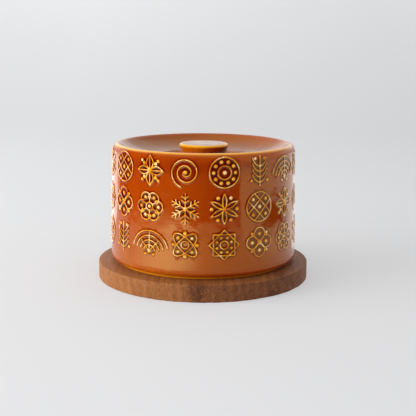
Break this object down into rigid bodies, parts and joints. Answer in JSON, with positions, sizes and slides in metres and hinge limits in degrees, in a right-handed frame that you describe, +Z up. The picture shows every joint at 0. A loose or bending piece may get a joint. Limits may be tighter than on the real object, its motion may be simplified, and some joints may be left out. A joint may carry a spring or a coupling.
{
  "type": "covered butter dish",
  "caption": "Round butter dish: an amber-glazed earthenware drum cover with a sunken top and flush knob, on a turned hardwood board.",
  "frame": {"origin": "centre of the board's underside, on the surface that the dish stands on", "axes": "+Z up along the axis of the board, cover and knob; +Y away from the viewer, +X to the viewer's right"},
  "size_m": [0.156, 0.156, 0.0995],
  "materials": {
    "oiled_wood": "oiled, satin, fine open pores",
    "amber_glaze": "gloss transparent amber glaze, dark where it pools and golden where it thins"
  },
  "bodies": {
    "board": {"board": "oiled_wood"},
    "cover": {"cover": "amber_glaze", "knob": "amber_glaze"}
  },
  "joints": [
    {"name": "cover_lift", "type": "slide", "parent": "board", "child": "cover", "axis": [0, 0, 1], "range_m": [0, 0.12]}
  ]
}
